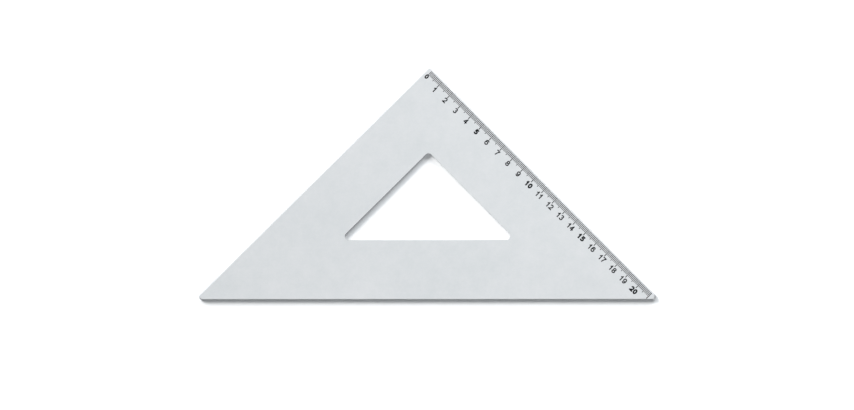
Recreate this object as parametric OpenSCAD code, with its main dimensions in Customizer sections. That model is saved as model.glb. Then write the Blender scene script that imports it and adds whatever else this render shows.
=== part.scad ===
// Aluminium set square: a flat right-angled plate with two equal sides, a
// triangular window, and a centimetre scale printed along one of those sides.
// It lies on its back with the printed face up. The long side runs along X, the
// square corner points to +Y, and the origin is under the middle of the plate's
// length and height, on the surface that the plate lies on.

/* [Plate] */
// Length of each of the two equal sides, to the sharp corners
leg = 221; // [180:1:400]
// Thickness of the aluminium sheet
thickness = 2; // [1.5:0.1:5]
// Width of the band between the outline and the window
band = 40.3; // [15:0.1:55]
// Radius of the two pointed corners
point_r = 2.5; // [1:0.1:6]
// Radius of the square corner
square_r = 1.4; // [1:0.1:2.5]
// Radius of the window's corners
window_r = 2.6; // [1:0.1:8]
// Width of the chamfer around the printed face
chamfer = 0.85; // [0.2:0.05:0.95]
// Width of the broken edge around the back and around the window
edge_break = 0.1; // [0.05:0.05:0.4]

/* [Scale] */
// Distance from the outline of the plain side to the zero line
zero_margin = 3.4; // [2.5:0.1:10]
// Gap between the chamfer and the start of the lines
line_gap = 0.05; // [0.05:0.05:1]
// Length of a millimetre line
millimetre_line = 3.4; // [2:0.1:4]
// Length of a half-centimetre line
half_centimetre_line = 4.3; // [3:0.1:5]
// Length of a centimetre line
centimetre_line = 5.2; // [4:0.1:8]
// Width of a millimetre or half-centimetre line
fine_line_w = 0.42; // [0.1:0.02:0.5]
// Width of a centimetre line
centimetre_line_w = 0.5; // [0.1:0.02:0.6]
// Thickness of the ink film
ink = 0.05; // [0.02:0.01:0.1]

/* [Hidden] */
$fn = 72;
aluminium_colour = "#dadee1";
ink_colour = "#1b1d20";

// Steps of the scale
millimetre = 1;
half_centimetre = 5 * millimetre;
centimetre = 10 * millimetre;

// Sharp corners: the left point, the right point and the square corner
CORNERS = [0, 1, 2];
half_long = leg / sqrt(2);
height = half_long - square_r * (sqrt(2) - 1);
corner = [[-half_long, -height / 2], [half_long, -height / 2], [0, half_long - height / 2]];
corner_r = [point_r, point_r, square_r];
scale_angle = -45;

// Step from each sharp corner to the point that lies 1 inside both of its sides
step_in = [[1 + sqrt(2), 1], [-1 - sqrt(2), 1], [0, -sqrt(2)]];
function inside(i, d) = corner[i] + d * step_in[i];

// A wall is a list of how far out it stands and at what height, from the bottom up
plate_wall = [
    [-edge_break, 0],
    [0, edge_break],
    [0, thickness - chamfer],
    [-chamfer, thickness],
];
window_walls = [
    [[0, -edge_break], [0, thickness + edge_break]],
    [[2 * edge_break, -edge_break], [-edge_break, 2 * edge_break]],
    [[-edge_break, thickness - 2 * edge_break], [2 * edge_break, thickness + edge_break]],
];

// The last line stays on the printed face: it ends clear of the chamfer of the long side
// and starts clear of the round of the point
line_start = chamfer + line_gap;
face_end = line_start + centimetre_line + sqrt(2) * chamfer;
round_end = point_r * (1 + sqrt(2));
run_out = max(face_end, round_end) + centimetre_line_w / 2;
scale_length = centimetre * floor((leg - zero_margin - run_out) / centimetre);

// Turned post of radius r with the given wall
module post(r, wall) {
    turned = [for (p = wall) [r + p.x, p.y]];
    rotate_extrude()
        polygon([[0, wall[0].y], each turned, [0, wall[len(wall) - 1].y]]);
}

// Three-sided solid stretched around a post in each corner, with sides that lie inset
// inside the sharp outline
module three_sided(inset, radii, wall) {
    hull()
        for (i = CORNERS)
            translate(inside(i, inset + radii[i]))
                post(radii[i], wall);
}

// Lines of one length on the printed face, at the given distances from the zero line
module printed_lines(distances, length, width) {
    color(ink_colour)
        translate([corner[2].x, corner[2].y, thickness])
            rotate(scale_angle)
                for (d = distances)
                    translate([zero_margin + d - width / 2, -line_start - length, 0])
                        cube([width, length, ink]);
}

module plate() {
    color(aluminium_colour)
        difference() {
            three_sided(0, corner_r, plate_wall);
            for (wall = window_walls)
                three_sided(band, [for (i = CORNERS) window_r], wall);
        }
}

module millimetre_lines() {
    distances = [for (d = [0:millimetre:scale_length]) if (d == 0 || d % half_centimetre != 0) d];
    printed_lines(distances, millimetre_line, fine_line_w);
}

module half_centimetre_lines() {
    printed_lines([half_centimetre:centimetre:scale_length], half_centimetre_line, fine_line_w);
}

module centimetre_lines() {
    printed_lines([centimetre:centimetre:scale_length], centimetre_line, centimetre_line_w);
}

plate();
millimetre_lines();
half_centimetre_lines();
centimetre_lines();
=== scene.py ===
# %% [markdown]
# # A flat aluminium set square
#
# The object is a set square: one triangle of satin aluminium sheet with a triangular window and a
# centimetre scale printed along one side. A CAD model already holds the plate and the lines of the
# scale at their real size, so nothing has to be fitted by eye. Blender adds what the eye reads as
# metal and ink: the finish of each surface, the printed numerals, the light and the camera.

import bpy
import numpy as np
from mathutils import Matrix, Vector
from mathutils.geometry import delaunay_2d_cdt


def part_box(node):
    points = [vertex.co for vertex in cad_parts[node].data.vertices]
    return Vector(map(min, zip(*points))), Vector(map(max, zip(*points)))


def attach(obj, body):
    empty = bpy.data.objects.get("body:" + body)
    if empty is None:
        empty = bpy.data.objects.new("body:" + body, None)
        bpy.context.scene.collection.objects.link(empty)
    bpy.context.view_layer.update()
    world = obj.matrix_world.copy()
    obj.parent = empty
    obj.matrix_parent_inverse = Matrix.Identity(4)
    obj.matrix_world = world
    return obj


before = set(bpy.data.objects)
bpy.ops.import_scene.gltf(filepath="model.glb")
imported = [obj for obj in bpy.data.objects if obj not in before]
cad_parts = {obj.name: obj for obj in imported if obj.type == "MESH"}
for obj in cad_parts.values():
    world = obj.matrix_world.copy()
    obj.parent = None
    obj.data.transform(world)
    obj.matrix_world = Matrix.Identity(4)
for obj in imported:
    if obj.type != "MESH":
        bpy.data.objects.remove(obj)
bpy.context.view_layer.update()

MM = 0.001
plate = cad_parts["plate"]
plate_low, plate_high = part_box("plate")
plate_top = plate_high.z
for name, node in sorted(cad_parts.items()):
    print(f"{name}: {len(node.data.polygons)} triangles")

# %% [markdown]
# ## Camera
#
# The set square lies on a white surface and is seen from almost straight above. Its three sides show
# no change of scale along their length, which is what a long lens far away gives. The graduated side
# looks one per cent shorter than the plain one, so the camera leans a little about the direction of
# the plain side. A camera could be placed by its own location and angles; here it starts straight
# above the point that it aims at and is then leaned and rolled, so that each number has a meaning.

# %% Camera
image_width = 854
lens = 600
aim = Vector((-0.57, -14.15, 2.0)) * MM
distance = 9470 * MM
lean = np.radians(9.0)
roll = np.radians(0.28)
plain_side = Vector((1, 1, 0)).normalized()

camera = bpy.data.objects.new("camera", bpy.data.cameras.new("camera"))
bpy.context.scene.collection.objects.link(camera)
camera.data.lens = lens
camera.data.sensor_width = 36
camera.matrix_world = (
    Matrix.Translation(aim)
    @ Matrix.Rotation(lean, 4, plain_side)
    @ Matrix.Rotation(roll, 4, "Z")
    @ Matrix.Translation((0, 0, distance))
)
bpy.context.scene.camera = camera
bpy.context.scene.view_settings.view_transform = "Standard"
view_width = distance * camera.data.sensor_width / lens
print(f"the picture is {view_width / MM:.0f} mm wide, {image_width / view_width * MM:.3f} pixels a mm")

# %% [markdown]
# ## Fine lines and the denoiser
#
# In the picture the millimetre lines are only one and a half pixels apart. Blender cleans a picture of
# noise with the help of two guides, a picture of the colours and one of the directions of the surfaces.
# Unless told otherwise it smooths the guides first, and lines as fine as these are then wiped away with
# the noise. More samples would save them too, but slowly, so the guides are used as they are.

# %% Denoiser
bpy.context.scene.cycles.denoising_prefilter = "NONE"
print("smoothing of the guides:", bpy.context.scene.cycles.denoising_prefilter)

# %% [markdown]
# ## A helper for node trees
#
# Materials and the world are small networks of nodes. One function adds a node, sets its options and
# fills its sockets: a value that is itself a socket is linked, anything else is written into the
# socket. A second one turns the sRGB colours that a colour picker shows into the linear values that
# a renderer counts with.

# %% Node and colour helpers
def add(tree, kind, settings=None, **sockets):
    """Adds one node to a tree. Socket names are written with _ for a space, or as in_0, in_1 by number."""
    node = tree.nodes.new(kind)
    for option, value in (settings or {}).items():
        setattr(node, option, value)
    for name, value in sockets.items():
        key = int(name[3:]) if name.startswith("in_") else name.replace("_", " ")
        socket = node.inputs[key]
        if isinstance(value, bpy.types.NodeSocket):
            tree.links.new(value, socket)
        else:
            socket.default_value = value
    return node


def linear(hex_colour):
    """Linear RGBA of an sRGB colour such as #dadee1: the lower end is a straight line, the rest a power."""
    srgb = np.array([int(hex_colour[i:i + 2], 16) for i in (1, 3, 5)]) / 255
    rgb = np.where(srgb <= 0.04045, srgb / 12.92, ((srgb + 0.055) / 1.055) ** 2.4)
    return (*rgb.tolist(), 1.0)


def new_material(name):
    """An empty node material, its tree and its output."""
    material = bpy.data.materials.new(name)
    material.use_nodes = True
    tree = material.node_tree
    tree.nodes.clear()
    return material, tree, tree.nodes.new("ShaderNodeOutputMaterial")


print("mid grey #808080 is", round(linear("#808080")[0], 3), "in linear light")

# %% [markdown]
# ## Main light
#
# The shadow falls to the lower right and is a few millimetres long beside a plate that is two
# millimetres thick, so the main light stands low at the upper left. It is soft: the shadow fades over
# a few millimetres. A sun lamp with a wide angle gives that with one number for the height and one
# for the softness, where an area lamp would also need a distance. The metal doesn't mirror this lamp,
# because a glint of it would burn out the face seen from the other side. What the metal mirrors is
# painted into the world below.

# %% Main light
key_height = np.radians(21)
key_bearing = np.radians(139)
key_softness = np.radians(34)
key_strength = 6.3


def pointing(height, bearing):
    """Unit vector at a height above the table and a bearing counted from +X towards +Y."""
    flat = np.cos(height)
    return Vector((flat * np.cos(bearing), flat * np.sin(bearing), np.sin(height)))


key = bpy.data.objects.new("key_light", bpy.data.lights.new("key_light", "SUN"))
bpy.context.scene.collection.objects.link(key)
key.data.energy = key_strength
key.data.angle = key_softness
key.visible_glossy = False
towards_key = pointing(key_height, key_bearing)
key.rotation_euler = towards_key.to_track_quat("Z", "Y").to_euler()
print("direction to the key light:", [round(c, 3) for c in towards_key])

# %% [markdown]
# ## Side light
#
# Inside the window the shadow is lighter than below the long side, and all of it is faintly blue. A
# second lamp at the upper right gives both: it shines into the window's shadow, while below the long
# side the plate is in its way too. There its shadow reaches a little further than that of the main
# light, so the two together fade out gradually. It is an area lamp, whose size sets how soft its
# shadow is, and its white is a little cooler than that of the main light.

# %% Side light
side_height = np.radians(20)
side_bearing = np.radians(60)
side_distance = 950 * MM
side_size = 370 * MM
side_power = 9.66
cool_white = linear("#f5fbff")

side = bpy.data.objects.new("side_light", bpy.data.lights.new("side_light", "AREA"))
bpy.context.scene.collection.objects.link(side)
side.data.energy = side_power
side.data.color = cool_white[:3]
side.data.size = side_size
side.visible_camera = False
side.visible_glossy = False
towards_side = pointing(side_height, side_bearing)
side.location = towards_side * side_distance
side.rotation_euler = towards_side.to_track_quat("Z", "Y").to_euler()
print("side light at", [round(c / MM) for c in side.location], "mm")

# %% [markdown]
# ## Glow
#
# Satin metal mirrors what is above it as a broad blur. The right half of the plate is a little lighter
# than the left one, so a weak lamp hangs above that half. It is far too weak to light the paper and
# shows only as a soft glow in the metal.

# %% Glow
glow_place = Vector((41, 54, 450)) * MM
glow_size = 150 * MM
glow_power = 0.021

glow = bpy.data.objects.new("glow_light", bpy.data.lights.new("glow_light", "AREA"))
bpy.context.scene.collection.objects.link(glow)
glow.data.energy = glow_power
glow.data.size = glow_size
glow.visible_camera = False
glow.location = glow_place
print("glow hangs", round(glow_place.z / MM), "mm above the table")

# %% [markdown]
# ## The mirrored room
#
# Metal without something to mirror looks like grey paint, so a room is painted into the world. It has
# one softbox overhead and three low ones, at the far left, the far right and the near right, and is dim
# elsewhere and darkest on the near side. The flat face mirrors the softbox overhead. The bevels of the
# two equal sides look towards the far ones and are as white as the paper, while that of the long side
# looks towards the dark. The near one lights the left wall of the window and the rim of the right
# point. A picture of a real room could be used instead, but its lights couldn't be moved one by one.

# %% Mirrored room
overhead_strength = 0.879
# Sine of the height where the softbox overhead begins and where it has its full strength
overhead_begin = 0.1
overhead_full = 0.6
room_strength = 0.19
# Strength of each low softbox by its bearing in degrees
softbox_strength = {-50: 1.5, 60: 1.95, 120: 4.0}
# Power of the cosine between a direction and a softbox: the higher, the smaller the softbox
softbox_edge = 24

world = bpy.data.worlds.new("studio")
world.use_nodes = True
tree = world.node_tree
tree.nodes.clear()
sky = add(tree, "ShaderNodeTexCoord").outputs["Generated"]
direction = add(tree, "ShaderNodeSeparateXYZ", Vector=sky)
horizon = add(
    tree, "ShaderNodeMapRange", Value=direction.outputs["Y"], From_Min=-1.0, From_Max=0.0,
    To_Max=room_strength,
).outputs[0]
for bearing, strength in softbox_strength.items():
    nearness = add(
        tree, "ShaderNodeVectorMath", {"operation": "DOT_PRODUCT"},
        in_0=sky, in_1=pointing(0, np.radians(bearing)),
    )
    ahead = add(tree, "ShaderNodeMath", {"operation": "MAXIMUM"}, in_0=nearness.outputs["Value"], in_1=0.0)
    softbox = add(
        tree, "ShaderNodeMath", {"operation": "POWER"}, in_0=ahead.outputs[0], in_1=softbox_edge,
    )
    horizon = add(
        tree, "ShaderNodeMath", {"operation": "MULTIPLY_ADD"},
        in_0=softbox.outputs[0], in_1=strength, in_2=horizon,
    ).outputs[0]
height = add(
    tree, "ShaderNodeMapRange", {"interpolation_type": "SMOOTHSTEP"}, Value=direction.outputs["Z"],
    From_Min=overhead_begin, From_Max=overhead_full,
)
mirrored = add(tree, "ShaderNodeMix", Factor=height.outputs[0], A=horizon, B=overhead_strength)
print("low softboxes at", list(softbox_strength), "degrees")

# %% [markdown]
# ## World
#
# The world is three things at once, and a Light Path node tells which of them a ray asks for. It is the
# room that the metal mirrors, a dim cool light that fills the shadows, and plain white where the camera
# looks past the table. One light for all three would be simpler, but the white would then drown the
# shadows.

# %% World
fill_strength = 0.305

ray = add(tree, "ShaderNodeLightPath")
unseen = add(
    tree, "ShaderNodeMix", Factor=ray.outputs["Is Glossy Ray"], A=fill_strength, B=mirrored.outputs[0],
)
seen = add(tree, "ShaderNodeMix", Factor=ray.outputs["Is Camera Ray"], A=unseen.outputs[0], B=1.0)
tint = add(
    tree, "ShaderNodeMix", {"data_type": "RGBA"},
    Factor=ray.outputs["Is Diffuse Ray"], in_6=(1, 1, 1, 1), in_7=cool_white,
)
background = add(tree, "ShaderNodeBackground", Color=tint.outputs[2], Strength=seen.outputs[0])
add(tree, "ShaderNodeOutputWorld", Surface=background.outputs[0])
bpy.context.scene.world = world
print("world nodes:", len(tree.nodes))

# %% [markdown]
# ## Table
#
# The set square lies on plain white paper. The paper is a flat sheet a hair below the plate, so that
# two faces never share one plane. It is pure white where the camera or the metal sees it and a little
# greyer for light that bounces off it, as real paper is.

# %% Table
paper_size = 8000 * MM
paper_gap = 0.02 * MM
corners = np.array([[-1, -1, 0], [1, -1, 0], [1, 1, 0], [-1, 1, 0]]) * paper_size / 2
corners[:, 2] = plate_low.z - paper_gap
sheet = bpy.data.meshes.new("paper")
sheet.from_pydata(corners.tolist(), [], [(0, 1, 2, 3)])
paper = bpy.data.objects.new("paper", sheet)
bpy.context.scene.collection.objects.link(paper)

material, tree, output = new_material("white_paper")
ray = add(tree, "ShaderNodeLightPath")
looked_at = add(
    tree, "ShaderNodeMath", {"operation": "MAXIMUM"},
    in_0=ray.outputs["Is Camera Ray"], in_1=ray.outputs["Is Glossy Ray"],
)
tone = add(
    tree, "ShaderNodeMix", {"data_type": "RGBA"},
    Factor=looked_at.outputs[0], in_6=linear("#e6e6e6"), in_7=linear("#ffffff"),
)
bounce = add(tree, "ShaderNodeBsdfDiffuse", Color=tone.outputs[2])
tree.links.new(bounce.outputs[0], output.inputs["Surface"])
paper.data.materials.append(material)
print("paper at z =", round(corners[0, 2] / MM, 3), "mm")

# %% [markdown]
# ## Where the metal was cut and rubbed
#
# Sheet metal keeps a record of what was done to it. Its edges were milled, so they are bare metal,
# smoother than the face, and carry the marks of the cutter, and hands and pencils rub the face most
# along its rim. A painter would draw both as masks on a picture. Here they are worked out from the
# shape: a milled edge is a face that doesn't look straight up or down, and the depth of a point inside
# the rim is its least distance from the three straight sides, which are measured on the plate's mesh.

# %% Sides of the plate
def points_of(node):
    """All corner points of a CAD node as one array of x, y, z."""
    points = np.empty(len(node.data.vertices) * 3, np.float32)
    node.data.vertices.foreach_get("co", points)
    return points.reshape(-1, 3).astype(float)


diagonal = np.sqrt(0.5)
side_normals = np.array([(0, -1, 0), (diagonal, diagonal, 0), (-diagonal, diagonal, 0)])
side_reach = (points_of(plate) @ side_normals.T).max(axis=0)
print("sides lie", (side_reach / MM).round(2), "mm from the origin")


def rim_depth(tree, place):
    """Node for the least of each side's reach minus the part of a point's place along that side's normal."""
    depth = None
    for normal, reach in zip(side_normals.tolist(), side_reach.tolist()):
        out = add(tree, "ShaderNodeVectorMath", {"operation": "DOT_PRODUCT"}, in_0=place, in_1=normal)
        inside = add(tree, "ShaderNodeMath", {"operation": "SUBTRACT"}, in_0=reach, in_1=out.outputs["Value"])
        if depth:
            inside = add(
                tree, "ShaderNodeMath", {"operation": "MINIMUM"},
                in_0=depth.outputs[0], in_1=inside.outputs[0],
            )
        depth = inside
    return depth


# %% [markdown]
# ## Satin anodised aluminium
#
# The plate is rolled aluminium sheet that was etched matt and then anodised. Rolling leaves faint
# streaks along the sheet, etching a fine grain and a soft mottling, and the clear oxide layer a pale
# bluish grey with cloudy changes of tone. Flat grey paint would have none of that, so four noises of
# different size steer the colour, the roughness and a faint relief. The grain of etched metal is a
# twentieth of a millimetre and too fine to show, so it is drawn coarser here.

# %% Patterns of the metal
cloud_size = 60 * MM
cloud_pattern = 7.0
mottle_size = 12 * MM
mottle_share = 0.5
streak_length = 60 * MM
streak_width = 1.6 * MM
streak_share = 0.3
grain_size = 0.9 * MM

aluminium, tree, output = new_material("satin_anodised_aluminium")
coordinates = add(tree, "ShaderNodeTexCoord")
place = coordinates.outputs["Object"]
clouds = add(
    tree, "ShaderNodeTexNoise", {"noise_dimensions": "4D"},
    Vector=place, W=cloud_pattern, Scale=1 / cloud_size, Detail=3.0, Roughness=0.55,
)
mottle = add(
    tree, "ShaderNodeTexNoise", Vector=place, Scale=1 / mottle_size, Detail=3.0, Roughness=0.9,
)
cloudiness = add(tree, "ShaderNodeMix", Factor=mottle_share, A=clouds.outputs[0], B=mottle.outputs[0])
along_sheet = add(
    tree, "ShaderNodeMapping", Vector=place, Scale=(1 / streak_length, 1 / streak_width, 1 / streak_length),
)
streaks = add(tree, "ShaderNodeTexNoise", Vector=along_sheet.outputs[0], Scale=1.0, Detail=2.0)
grain = add(tree, "ShaderNodeTexNoise", Vector=place, Scale=1 / grain_size, Detail=2.0, Roughness=0.6)
texture = add(tree, "ShaderNodeMix", Factor=streak_share, A=grain.outputs[0], B=streaks.outputs[0])
pattern_sizes = [cloud_size, mottle_size, streak_width, grain_size]
print("pattern sizes in mm:", [round(size / MM, 1) for size in pattern_sizes])

# %% [markdown]
# ## Masks of the metal
#
# A mask is a number from 0 to 1 at each point of the surface. The first is 1 on the milled edges, whose
# normals lean away from the vertical. The second is 1 at the rim and fades to 0 further in, and the
# clouds break it up, because nothing is rubbed evenly.

# %% Masks of the metal
rubbed_width = 7 * MM
# Upward part of the normal: above the first value a face is flat, below the second it is a milled edge
flat_face = 0.98
leaning_face = 0.85

facing = add(tree, "ShaderNodeSeparateXYZ", Vector=coordinates.outputs["Normal"])
upright = add(tree, "ShaderNodeMath", {"operation": "ABSOLUTE"}, in_0=facing.outputs["Z"])
milled = add(tree, "ShaderNodeMapRange", Value=upright.outputs[0], From_Min=flat_face, From_Max=leaning_face)
rubbed = add(
    tree, "ShaderNodeMapRange", {"interpolation_type": "SMOOTHSTEP"},
    Value=rim_depth(tree, place).outputs[0], From_Min=0.0, From_Max=rubbed_width, To_Min=1.0, To_Max=0.0,
)
worn = add(
    tree, "ShaderNodeMath", {"operation": "MULTIPLY"}, in_0=rubbed.outputs[0], in_1=clouds.outputs[0],
)
print("rubbed for", round(rubbed_width / MM, 1), "mm from the rim")

# %% [markdown]
# ## Colour of the metal
#
# Clouds and mottling move the face between two pale greys, and streaks and grain make it a per cent or
# so lighter or darker. The milled edges have one even grey. The greys lie close together, because a
# stronger pattern would look like stains.

# %% Colour of the metal
dark_satin = "#d8dcde"
light_satin = "#e2e4e6"
milled_grey = "#d2d4d6"

tone = add(tree, "ShaderNodeValToRGB", Fac=cloudiness.outputs[0])
tone.color_ramp.elements[0].position = 0.33
tone.color_ramp.elements[0].color = linear(dark_satin)
tone.color_ramp.elements[1].position = 0.67
tone.color_ramp.elements[1].color = linear(light_satin)
strength = add(
    tree, "ShaderNodeMapRange", Value=texture.outputs[0],
    From_Min=0.3, From_Max=0.7, To_Min=0.985, To_Max=1.015,
)
face_colour = add(
    tree, "ShaderNodeMix", {"data_type": "RGBA", "blend_type": "MULTIPLY"},
    Factor=1.0, in_6=tone.outputs[0], in_7=strength.outputs[0],
)
colour = add(
    tree, "ShaderNodeMix", {"data_type": "RGBA"},
    Factor=milled.outputs[0], in_6=face_colour.outputs[2], in_7=linear(milled_grey),
)
print("face from", dark_satin, "to", light_satin, "and edges", milled_grey)

# %% [markdown]
# ## Gloss and relief of the metal
#
# The face is dull, unevenly so, and a rubbed rim is a little glossier. The milled edges are smoother, and
# instead of grain they have the marks that the cutter left across them. The oxide scatters some of the
# light, so the face counts as three quarters metal, and the milled edges, which have none, as metal
# only. Grain and marks are a bump in the shading, because real ridges so small would need millions of
# faces.

# %% Gloss, relief and shader
cutter_step = 0.5 * MM
cutter_length = 10 * MM
relief_height = 0.05 * MM
milled_roughness = 0.3
face_metal = 0.75

satin = add(
    tree, "ShaderNodeMapRange", Value=texture.outputs[0],
    From_Min=0.3, From_Max=0.7, To_Min=0.40, To_Max=0.50,
)
polish = add(tree, "ShaderNodeMapRange", Value=worn.outputs[0], To_Min=1.0, To_Max=0.8)
face_roughness = add(
    tree, "ShaderNodeMath", {"operation": "MULTIPLY"}, in_0=satin.outputs[0], in_1=polish.outputs[0],
)
roughness = add(
    tree, "ShaderNodeMix", Factor=milled.outputs[0], A=face_roughness.outputs[0], B=milled_roughness,
)
across_edge = add(
    tree, "ShaderNodeMapping", Vector=place, Scale=(1 / cutter_step, 1 / cutter_step, 1 / cutter_length),
)
cutter_marks = add(tree, "ShaderNodeTexNoise", Vector=across_edge.outputs[0], Scale=1.0, Detail=1.0)
relief = add(
    tree, "ShaderNodeMix", Factor=milled.outputs[0], A=grain.outputs[0], B=cutter_marks.outputs[0],
)
bump = add(tree, "ShaderNodeBump", Height=relief.outputs[0], Strength=0.05, Distance=relief_height)
bareness = add(tree, "ShaderNodeMix", Factor=milled.outputs[0], A=face_metal, B=1.0)
metal = add(
    tree, "ShaderNodeBsdfPrincipled", Base_Color=colour.outputs[2], Metallic=bareness.outputs[0],
    Roughness=roughness.outputs[0], Normal=bump.outputs[0],
)
tree.links.new(metal.outputs[0], output.inputs["Surface"])
plate.material_slots[0].material = aluminium
print("plate:", aluminium.name, "with", len(tree.nodes), "nodes")

# %% [markdown]
# ## Screen-printed ink
#
# The scale is black ink pressed through a fine mesh. It is a dull film that is never quite even: the
# mesh leaves small thinner spots, so the black varies a little and the surface is faintly dimpled.
# The threads of such a mesh are a tenth of a millimetre apart, and the dimples are drawn coarser.

# %% Screen-printed ink
dimple_size = 0.25 * MM
dimple_depth = 0.01 * MM
patch_size = 6 * MM

ink, tree, output = new_material("screen_printed_ink")
place = add(tree, "ShaderNodeTexCoord").outputs["Object"]
dimples = add(tree, "ShaderNodeTexNoise", Vector=place, Scale=1 / dimple_size, Detail=1.0)
patches = add(tree, "ShaderNodeTexNoise", Vector=place, Scale=1 / patch_size, Detail=2.0)
density = add(
    tree, "ShaderNodeMath", {"operation": "MULTIPLY"}, in_0=dimples.outputs[0], in_1=patches.outputs[0],
)
black = add(tree, "ShaderNodeValToRGB", Fac=density.outputs[0])
black.color_ramp.elements[0].position = 0.1
black.color_ramp.elements[0].color = linear("#0e0f11")
black.color_ramp.elements[1].position = 0.5
black.color_ramp.elements[1].color = linear("#1b1c1f")
dull = add(tree, "ShaderNodeMapRange", Value=patches.outputs[0], To_Min=0.5, To_Max=0.7)
relief = add(tree, "ShaderNodeBump", Height=dimples.outputs[0], Strength=0.1, Distance=dimple_depth)
film = add(
    tree, "ShaderNodeBsdfPrincipled", Base_Color=black.outputs[0], Roughness=dull.outputs[0],
    Normal=relief.outputs[0], Specular_IOR_Level=0.2,
)
tree.links.new(film.outputs[0], output.inputs["Surface"])
line_nodes = ["millimetre_lines", "half_centimetre_lines", "centimetre_lines"]
for name in line_nodes:
    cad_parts[name].material_slots[0].material = ink
print("ink on", ", ".join(line_nodes))

# %% [markdown]
# ## Where the numerals go
#
# The numerals 0 to 20 stand below the centimetre lines and read along the graduated side. The CAD
# model has the lines, so their places are measured on its mesh and not written down again: each
# corner of a line is split into how far it lies along the side and how far it lies in from it.

# %% Places along the scale
along = np.array([diagonal, -diagonal])
inward = np.array([-diagonal, -diagonal])
centimetre = 10 * MM
line_count = 21

line_points = points_of(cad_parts["centimetre_lines"])[:, :2]
line_places = np.sort(line_points @ along).reshape(line_count, -1).mean(axis=1)
line_end = (line_points @ inward).max()
zero_place = line_places[0] - centimetre
zero_end = (points_of(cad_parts["millimetre_lines"])[:, :2] @ inward).max()
print(f"{line_count} centimetre lines, step {np.diff(line_places).mean() / MM:.3f} mm")

# %% [markdown]
# ## Strokes of the numerals
#
# A numeral of a plain sans serif alphabet is a pen stroke of one width along a few straight lines and
# arcs. A font file could give the shapes, but strokes need no file, and the bold numerals at 5, 10, 15
# and 20 are then the same paths with a wider pen. The paths are written in a box from 0 to 1 that the
# middle of the pen keeps to, and two numbers say whether the pen runs half its width past each end.

# %% Paths of the ten digits
ARC_STEPS = 28


def arc(middle, radii, start, end):
    """Points of an ellipse: the middle plus each radius times cosine and sine of an angle in degrees."""
    angle = np.radians(np.linspace(start, end, ARC_STEPS))
    return np.array(middle) + np.array(radii) * np.stack([np.cos(angle), np.sin(angle)], axis=1)


def bend(start, control, end):
    """Points of a parabola from start to end that leaves towards the control point."""
    u = np.linspace(0, 1, ARC_STEPS)[:, None]
    return (1 - u) ** 2 * np.array(start) + 2 * u * (1 - u) * np.array(control) + u ** 2 * np.array(end)


def line(*points):
    """A path of straight stretches through the given points."""
    return np.array(points, float)


two_neck = bend((0.90, 0.52), (0.72, 0.36), (0.04, 0.0))
six = [
    (arc((0.5, 0.32), (0.5, 0.32), 0, 360), 0, 0),
    (np.vstack([arc((0.54, 0.52), (0.54, 0.48), 32, 176), line((0.0, 0.32))]), 0, 0),
]
digit_strokes = {
    "0": [(arc((0.5, 0.5), (0.5, 0.5), 0, 360), 0, 0)],
    "1": [
        (line((0.62, 1.0), (0.62, 0.0)), 1, 1),
        (bend((0.0, 0.68), (0.42, 0.75), (0.62, 1.0)), 0, 0),
    ],
    "2": [
        (np.vstack([arc((0.5, 0.70), (0.48, 0.30), 172, -20), two_neck]), 0, 0),
        (line((0.0, 0.0), (1.0, 0.0)), 1, 1),
    ],
    "3": [
        (arc((0.48, 0.755), (0.43, 0.245), 165, -95), 0, 0),
        (arc((0.48, 0.265), (0.50, 0.265), 95, -165), 0, 0),
    ],
    "4": [
        (line((0.74, 1.0), (0.74, 0.0)), 1, 1),
        (line((0.72, 0.97), (0.0, 0.26)), 0, 0),
        (line((0.0, 0.26), (1.0, 0.26)), 1, 1),
    ],
    "5": [
        (line((0.88, 1.0), (0.18, 1.0), (0.07, 0.46)), 1, 0),
        (arc((0.48, 0.305), (0.52, 0.305), 148, -165), 0, 0),
    ],
    "6": six,
    "7": [
        (line((0.0, 1.0), (1.0, 1.0)), 1, 1),
        (bend((1.0, 1.0), (0.46, 0.52), (0.34, 0.0)), 0, 1),
    ],
    "8": [
        (arc((0.5, 0.755), (0.43, 0.245), 0, 360), 0, 0),
        (arc((0.5, 0.265), (0.5, 0.265), 0, 360), 0, 0),
    ],
    "9": [(1 - path, start, end) for path, start, end in six],
}
print("strokes:", {digit: len(strokes) for digit, strokes in digit_strokes.items()})

# %% [markdown]
# ## From strokes to flat shapes
#
# Each stroke becomes a band: every point of its path moves half the pen's width to either side. Where
# strokes meet, the bands overlap, and two films in one place would be no clean mesh. Blender's
# two-dimensional triangulation takes all the bands of a digit at once and gives back triangles that
# cover each spot once. A Boolean modifier could join them too, but is slower for something so flat.

# %% Bands and their union
numeral_height = 3.74 * MM
numeral_breadth = 2.6 * MM
pen = 0.72 * MM
# In millimetres: points are rounded to so many decimals, and closer than this they count as one
DECIMALS = 6
SAME_POINT = 1e-4


def band(path, pen, start, end):
    """Edges of a stroke: each path point plus and minus half the pen along the line that halves the bend."""
    step = np.diff(path, axis=0)
    step /= np.linalg.norm(step, axis=1, keepdims=True)
    closed = np.allclose(path[0], path[-1])
    before = np.vstack([step[-1:] if closed else step[:1], step])
    after = np.vstack([step, step[:1] if closed else step[-1:]])
    across = (before + after)[:, ::-1] * (-1, 1) / (1 + (before * after).sum(axis=1, keepdims=True))
    middle = path.copy()
    middle[0] -= step[0] * start * pen / 2
    middle[-1] += step[-1] * end * pen / 2
    return np.vstack([middle - across * pen / 2, middle + across * pen / 2])


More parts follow.
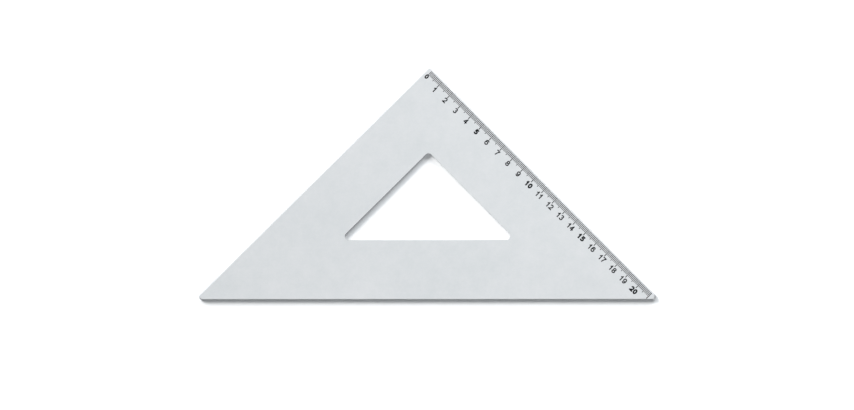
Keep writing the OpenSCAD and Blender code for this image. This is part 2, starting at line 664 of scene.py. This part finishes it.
def digit_shape(digit, height, breadth, pen):
    """Flat triangles of a digit: the four-sided steps of its bands, cut so that none lies on another."""
    box = np.array([breadth - pen, height - pen]) / MM
    bands = [band((path - 0.5) * box, pen / MM, start, end) for path, start, end in digit_strokes[digit]]
    firsts = np.cumsum([0] + [len(points) for points in bands])
    quads = []
    for first, points in zip(firsts, bands):
        half = len(points) // 2
        row = first + np.arange(half - 1)
        quads += np.stack([row, row + 1, row + 1 + half, row + half], axis=1).tolist()
    # Rounding makes both ends of a closed stroke the same point, so that no crack is left between them
    outline = np.vstack(bands).round(DECIMALS).tolist()
    corners, _, faces, _, _, covered_by = delaunay_2d_cdt(outline, [], quads, 0, SAME_POINT)
    inside = np.array([len(sources) > 0 for sources in covered_by])
    return np.array(corners) * MM, np.array(faces)[inside]


eight_points, eight_faces = digit_shape("8", numeral_height, numeral_breadth, pen)
print("the figure 8 has", len(eight_points), "points and", len(eight_faces), "triangles")

# %% [markdown]
# ## The form of each number
#
# Each number is centred on its line, with the tops of its digits towards the edge, and each fifth one is
# bold. The zero is a little smaller, because it shares the narrow corner with the plain side, and it
# runs up into its line. A table with the place and form of all the numbers would do too, but the rule
# behind it is short.

# %% Form of each number
numeral_step = 2.85 * MM
numeral_gap = 0.26 * MM
bold_every = 5
bold_breadth = 2.7 * MM
bold_pen = 1.0 * MM
zero_height = 3.36 * MM
zero_breadth = 2.4 * MM
zero_pen = 0.85 * MM
zero_overlap = 0.2 * MM


def number_form(number):
    """Place along the side, distance in from it, height, breadth and pen of one number."""
    if number == 0:
        return zero_place, zero_end - zero_overlap, zero_height, zero_breadth, zero_pen
    place, top = line_places[number - 1], line_end + numeral_gap
    if number % bold_every == 0:
        return place, top, numeral_height, bold_breadth, bold_pen
    return place, top, numeral_height, numeral_breadth, pen


def number_shape(number):
    """Points and triangles of one number: digits a step apart, centred on its line, tops towards the edge."""
    place, top, height, breadth, width = number_form(number)
    digits = str(number)
    points, faces, count = [], [], 0
    for index, digit in enumerate(digits):
        corners, triangles = digit_shape(digit, height, breadth, width)
        across = place + (index - (len(digits) - 1) / 2) * numeral_step + corners[:, :1]
        down = top + height / 2 - corners[:, 1:]
        points.append(across * along + down * inward)
        faces.append(triangles + count)
        count += len(corners)
    return np.vstack(points), np.vstack(faces)


print("bold numbers:", [number for number in range(1, line_count) if number % bold_every == 0])

# %% [markdown]
# ## The printed numerals
#
# The numerals are one thin film of ink. The flat shapes of all the numbers go into one mesh on the face
# of the plate, and a Solidify modifier gives them their thickness, so that the film is closed all round.
# It is a hair thinner than the lines of the CAD model, so that the two have no face in common where the
# zero runs into its line.

# %% Numerals
film_share = 0.9
film_thickness = film_share * (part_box("centimetre_lines")[1].z - plate_top)

shapes = [number_shape(number) for number in range(line_count)]
counts = np.cumsum([0] + [len(points) for points, _ in shapes])
flat = np.vstack([points for points, _ in shapes])
triangles = np.vstack([faces + first for (_, faces), first in zip(shapes, counts)])
film_points = np.column_stack([flat, np.full(len(flat), plate_top)])
film_mesh = bpy.data.meshes.new("numerals")
film_mesh.from_pydata(film_points.tolist(), [], triangles.tolist())
film_mesh.materials.append(ink)
numerals = bpy.data.objects.new("numerals", film_mesh)
bpy.context.scene.collection.objects.link(numerals)
thicken = numerals.modifiers.new("film", "SOLIDIFY")
thicken.thickness = film_thickness
thicken.offset = 1.0
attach(numerals, "root")
print(f"numerals: {len(flat)} points, {len(triangles)} triangles, film {film_thickness / MM:.3f} mm")
